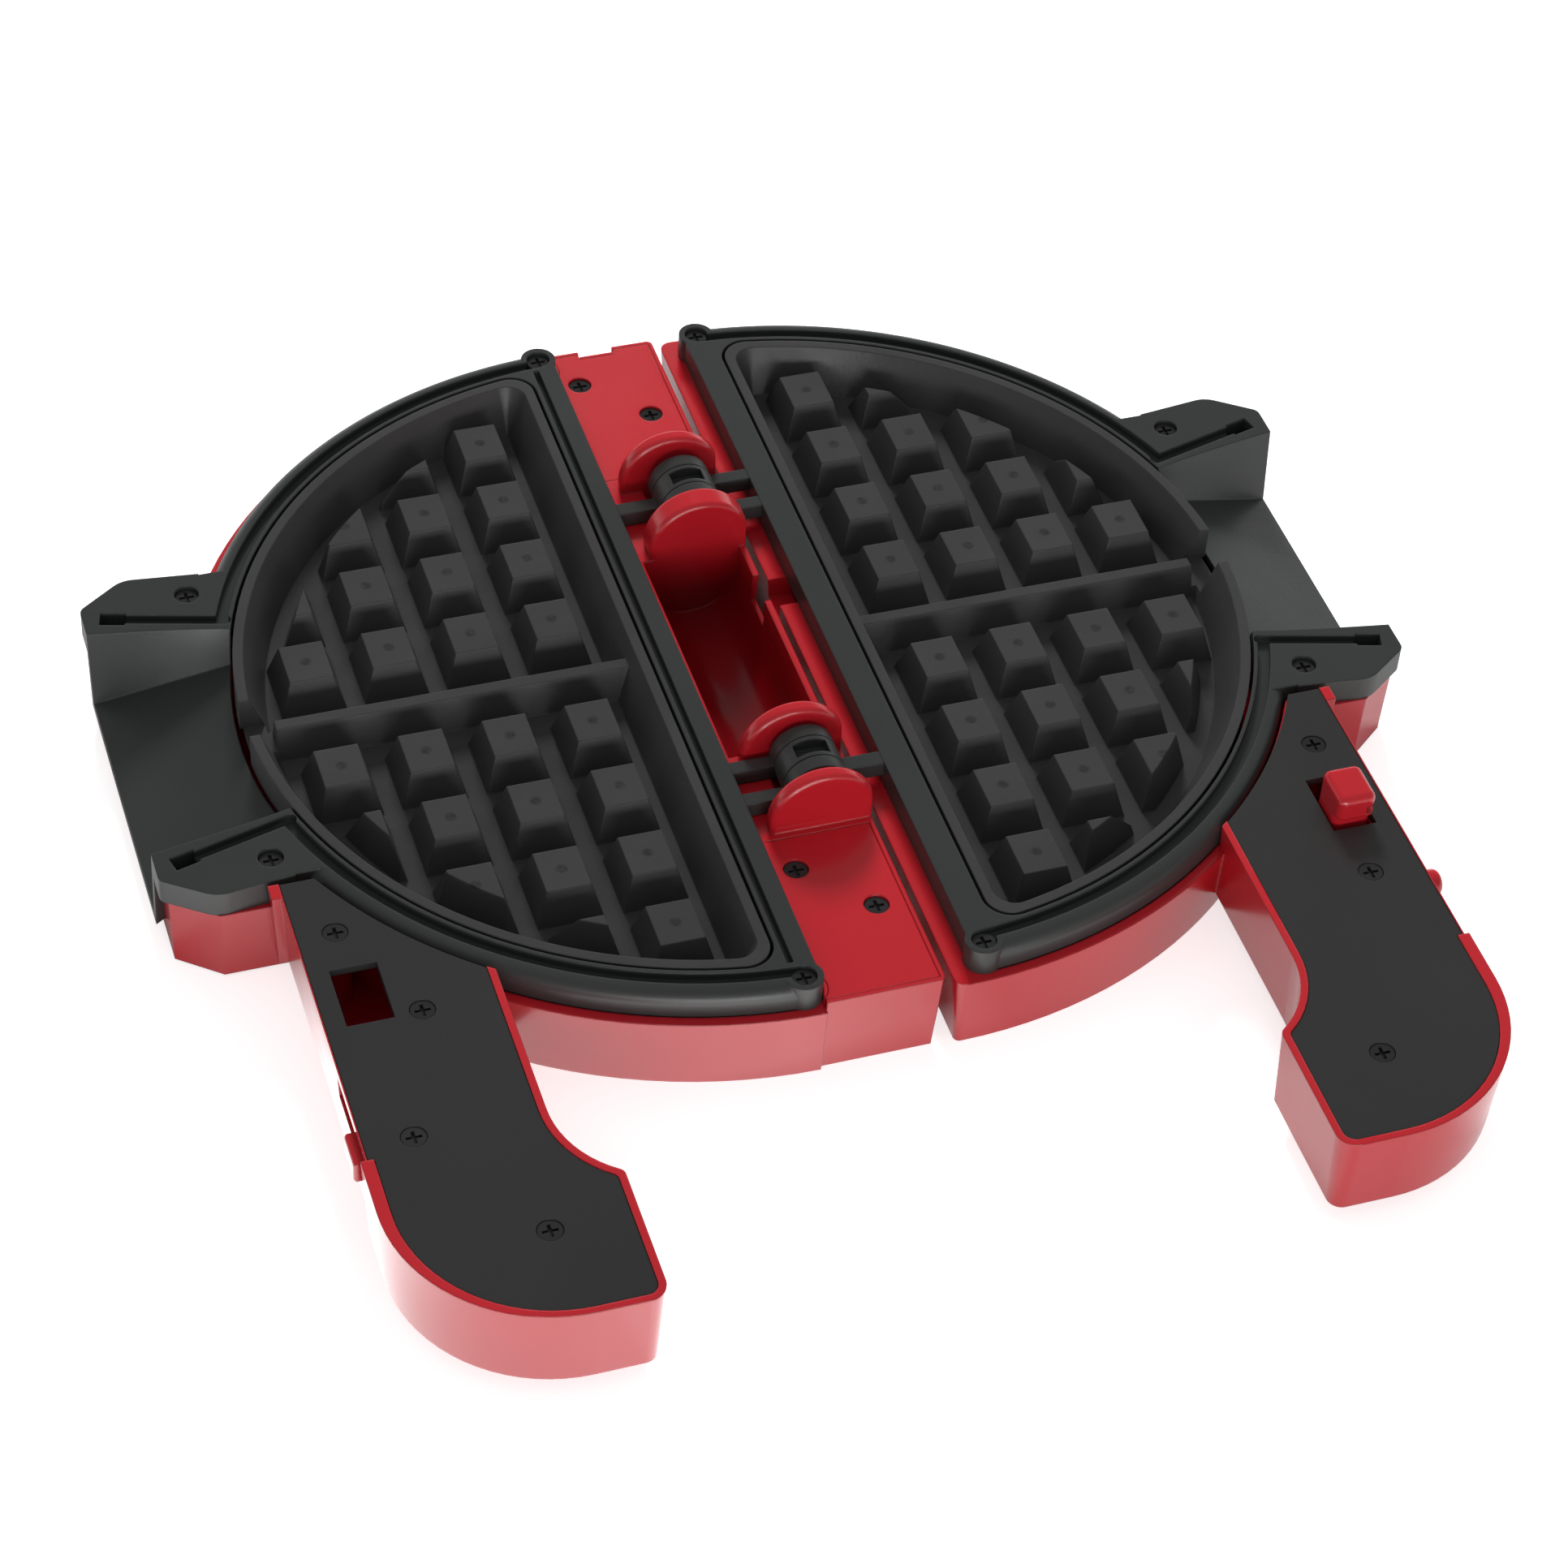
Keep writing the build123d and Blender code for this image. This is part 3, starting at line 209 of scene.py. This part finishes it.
class Finish(Nodes):
    """Node tree of one material of the object."""

    def __init__(self, name):
        self.material = bpy.data.materials.new(name)
        self.material.use_nodes = True
        tree = self.material.node_tree
        tree.nodes.clear()
        super().__init__(tree)
        output = self.new("OutputMaterial")
        self.shader = self.new("BsdfPrincipled")
        self.feed(output.inputs["Surface"], self.shader.outputs["BSDF"])

    def grains(self, scale):
        """Distance to the nearest grain of a cell pattern."""
        node = self.new("TexVoronoi")
        self.feed(node.inputs["Scale"], scale)
        self.feed(node.inputs["Vector"], self.place)
        return node.outputs["Distance"]

    def blend(self, value, first, second):
        """Colour between two colours."""
        node = self.new("Mix")
        node.data_type = "RGBA"
        self.feed(node.inputs["Factor"], value)
        self.feed(node.inputs["A"], first)
        self.feed(node.inputs["B"], second)
        return node.outputs["Result"]

    def bump(self, value, height, strength, below):
        """Fine relief from a value, on top of another normal."""
        node = self.new("Bump")
        self.feed(node.inputs["Distance"], height)
        self.feed(node.inputs["Strength"], strength)
        self.feed(node.inputs["Height"], value)
        self.feed(node.inputs["Normal"], below)
        return node.outputs["Normal"]

    def soft_edges(self, radius):
        """Normal that rounds every sharp edge a little."""
        node = self.new("Bevel")
        node.samples = BEVEL_SAMPLES
        self.feed(node.inputs["Radius"], radius)
        return node.outputs["Normal"]

    def trough_shade_mask(self):
        """Mask of painted shade: 1 at the bottom of the hinge trough, 0 at its rim and outside
        it.
        """
        x, y, z = self.axes()
        shade = self.spread(z, *TROUGH_Z, 1, 0)
        for value, (low, high) in ((x, TROUGH_X), (y, TROUGH_Y)):
            inside = self.math("COMPARE", value, (low + high) / 2, (high - low) / 2)
            shade = self.math("MULTIPLY", shade, inside)
        return shade

    def stud_marks(self):
        """1 in the small round mark on every stud's top, 0 elsewhere."""
        x, y, z = self.axes()
        squares = []
        for value, (first, pitch) in ((x, STUDS_X), (y, STUDS_Y)):
            along = self.math("SUBTRACT", self.math("ABSOLUTE", value), first)
            away = self.math("WRAP", along, pitch / 2, -pitch / 2)
            squares.append(self.math("MULTIPLY", away, away))
        distance = self.math("SQRT", self.math("ADD", *squares))
        near = self.spread(distance, MARK_CORE * MARK_RADIUS, MARK_RADIUS, 1, 0)
        on_top = self.math("COMPARE", z, STUD_TOP_Z, STUD_TOP_MARGIN)
        return self.math("MULTIPLY", near, on_top)

    def done(self, colour, roughness, normal, **plain):
        """Give the shader what varies over the surface and what doesn't."""
        self.feed(self.shader.inputs["Base Color"], colour)
        self.feed(self.shader.inputs["Roughness"], roughness)
        self.feed(self.shader.inputs["Normal"], normal)
        for name, value in plain.items():
            self.feed(self.shader.inputs[name], value)
        return self.material


def moulded(name, dark, light, rough, scale, height, edge, ior=1.5, trough_shade=None):
    """Moulded plastic: faint flow marks, fine mould texture and soft edges, and where given,
    painted shade that darkens the bottom of the hinge trough.
    """
    g = Finish(name)
    flow = g.noise(FLOW_SCALE, detail=4.0, roughness=0.55, stretch=FLOW_STRETCH)
    colour = g.blend(g.spread(flow, *NOISE_MIDDLE, 0, 1), dark, light)
    # Painted shade: the colour darkens towards the bottom of the hinge trough.
    if trough_shade:
        colour = g.blend(g.trough_shade_mask(), colour, trough_shade)
    smear = g.noise(SMEAR_SCALE, detail=5.0, roughness=0.6)
    normal = g.bump(g.noise(scale, detail=3.0), height, strength=0.6, below=g.soft_edges(edge))
    normal = g.bump(g.noise(SPECK_SCALE), height * SPECK_SHARE, strength=0.4, below=normal)
    roughness = g.spread(smear, *SMEAR_MIDDLE, *rough)
    return g.done(colour, roughness, normal, IOR=ior)


def coated_metal(name):
    """Cast metal under a dark non-stick coating with fine pores."""
    g = Finish(name)
    cloud = g.noise(COATING_CLOUD_SCALE, detail=5.0, roughness=0.6)
    colour = g.blend(g.spread(cloud, *NOISE_MIDDLE, 0, 1), COATING_DARK, COATING_LIGHT)
    uneven = g.spread(g.noise(MARK_SCALE, detail=3.0), *NOISE_MIDDLE, *MARK_DEPTH)
    colour = g.blend(g.math("MULTIPLY", g.stud_marks(), uneven), colour, MARK_COLOUR)
    sheen = g.noise(COATING_SHEEN_SCALE, detail=4.0)
    roughness = g.spread(sheen, *NOISE_MIDDLE, *COATING_ROUGH)
    ripple = g.noise(RIPPLE_SCALE, detail=3.0)
    normal = g.bump(ripple, RIPPLE_HEIGHT, strength=0.5, below=g.soft_edges(COATING_EDGE))
    normal = g.bump(g.grains(PORE_SCALE), PORE_HEIGHT, strength=0.4, below=normal)
    return g.done(colour, roughness, normal, IOR=COATING_IOR)


def drawn_metal(name, dark, light, rough, metallic, stretch):
    """Metal with fine lines along one direction."""
    g = Finish(name)
    lines = g.noise(LINE_SCALE, detail=4.0, roughness=0.6, stretch=stretch)
    stain = g.spread(g.noise(STAIN_SCALE, detail=4.0), *STAIN_MIDDLE, 0, 1)
    roughness = g.spread(lines, *NOISE_MIDDLE, *rough)
    normal = g.bump(lines, LINE_HEIGHT, strength=0.5, below=g.soft_edges(METAL_EDGE))
    return g.done(g.blend(stain, dark, light), roughness, normal, Metallic=metallic)


def make_materials():
    """Every finish of the object by its slot name."""
    materials = {name: moulded(name, **values) for name, values in PLASTICS.items()}
    materials["nonstick_coating"] = coated_metal("nonstick_coating")
    materials.update({name: drawn_metal(name, **values) for name, values in METALS.items()})
    return materials


def dress(materials):
    """Give every CAD node the finish of its slot."""
    slots = {part["node"]: part["material_slot"] for part in frame["record"]["subparts"]}
    for name, piece in frame["nodes"].items():
        material = materials[slots[name]]
        if not piece.data.materials:
            piece.data.materials.append(material)
        for slot in piece.material_slots:
            slot.material = material


# Floor, world and lamps, in metres and watts

FLOOR_HALF = 3.0
FLOOR_GRAIN_SCALE = 10.0
FLOOR_COLOUR = (0.84, 0.87)
FLOOR_ROUGHNESS = 0.8
FLOOR_GLOW = 0.68
FRONT_GLOW = 2.0
FRONT_GLOW_Y = (-0.045, -0.09)
ROUND_GLOW_RADIUS = (0.104, 0.122)
RIGHT_GLOW = 0.25
LEFT_GLOW_X = (-0.02, 0.03)

SKY_OVERHEAD = 0.2
SKY_OVERHEAD_Z = (0.03, 0.3)
SKY_LIGHT = (0.22, 0.5)
SKY_LIGHT_Z = (0.0, 0.8)

WHITE = (1, 1, 1)
CENTRE = Vector((0, 0, 0))
LAMPS = {
    "key": dict(place=(0.30, 1.62, 1.15), size=(0.45, 0.45), power=38.0, shine=False),
    "front": dict(place=(-0.15, -1.5, 0.22), size=(1.2, 0.36), power=10.0, shine=True),
}


class Stage(Nodes):
    """Node tree of the floor or the world, which can tell who looks at it."""

    def __init__(self, tree, coordinates):
        super().__init__(tree, coordinates)
        path = self.new("LightPath").outputs
        self.camera = path["Is Camera Ray"]
        self.reflected = self.math("MAXIMUM", path["Is Glossy Ray"], path["Is Transmission Ray"])


def floor_material():
    """White that the camera sees as lit, and reflections see bright in front of the object."""
    material = bpy.data.materials.new("floor_white")
    material.use_nodes = True
    shader = material.node_tree.nodes["Principled BSDF"]
    g = Stage(material.node_tree, "Object")
    x, y, _ = g.axes()
    radius = g.math("SQRT", g.math("ADD", g.math("MULTIPLY", x, x), g.math("MULTIPLY", y, y)))
    in_front = g.spread(y, *FRONT_GLOW_Y, 0, FRONT_GLOW)
    outside = g.spread(radius, *ROUND_GLOW_RADIUS, 0, 1)
    left = g.spread(x, *LEFT_GLOW_X, 1, RIGHT_GLOW)
    glow = g.math("MULTIPLY", g.math("MULTIPLY", in_front, outside), left)
    mirrored = g.math("MULTIPLY", g.reflected, glow)
    seen = g.math("MULTIPLY", g.camera, FLOOR_GLOW)
    grain = g.spread(g.noise(FLOOR_GRAIN_SCALE), 0, 1, *FLOOR_COLOUR)
    g.feed(shader.inputs["Base Color"], grain)
    g.feed(shader.inputs["Roughness"], FLOOR_ROUGHNESS)
    g.feed(shader.inputs["Specular IOR Level"], 0.0)
    g.feed(shader.inputs["Emission Color"], WHITE)
    g.feed(shader.inputs["Emission Strength"], g.math("MAXIMUM", seen, mirrored))
    return material


def make_floor():
    """Plain white floor that keeps a soft shadow."""
    mesh = bpy.data.meshes.new("floor")
    signs = ((-1, -1), (1, -1), (1, 1), (-1, 1))
    corners = [(x * FLOOR_HALF, y * FLOOR_HALF, 0) for x, y in signs]
    mesh.from_pydata(corners, [], [(0, 1, 2, 3)])
    mesh.materials.append(floor_material())
    floor = bpy.data.objects.new("floor", mesh)
    scene.collection.objects.link(floor)


def make_world():
    """Pale studio, white to the camera and near the horizon in reflections, dimmer overhead."""
    world = bpy.data.worlds.new("studio")
    scene.world = world
    world.use_nodes = True
    background = world.node_tree.nodes["Background"]
    g = Stage(world.node_tree, "Generated")
    height = g.axes()[2]
    overhead = g.spread(height, *SKY_OVERHEAD_Z, 1.0, SKY_OVERHEAD)
    seen = g.math("MAXIMUM", g.camera, g.math("MULTIPLY", g.reflected, overhead))
    plain = g.math("SUBTRACT", 1, g.math("MAXIMUM", g.camera, g.reflected))
    light = g.spread(height, *SKY_LIGHT_Z, *SKY_LIGHT)
    g.feed(background.inputs["Color"], WHITE)
    g.feed(background.inputs["Strength"], g.math("ADD", seen, g.math("MULTIPLY", plain, light)))


def area_lamp(name, place, size, power, shine):
    """Soft lamp that looks at the object's middle, with or without its own highlight."""
    data = bpy.data.lights.new(name, "AREA")
    data.shape = "RECTANGLE"
    data.size, data.size_y = size
    data.energy = power
    lamp = bpy.data.objects.new(name, data)
    lamp.location = place
    lamp.visible_glossy = shine
    lamp.rotation_euler = (CENTRE - Vector(place)).to_track_quat("-Z", "Y").to_euler()
    scene.collection.objects.link(lamp)


place_camera()
dress(make_materials())
make_floor()
make_world()
for lamp_name, lamp_values in LAMPS.items():
    area_lamp(lamp_name, **lamp_values)

scene.view_settings.view_transform = "Standard"
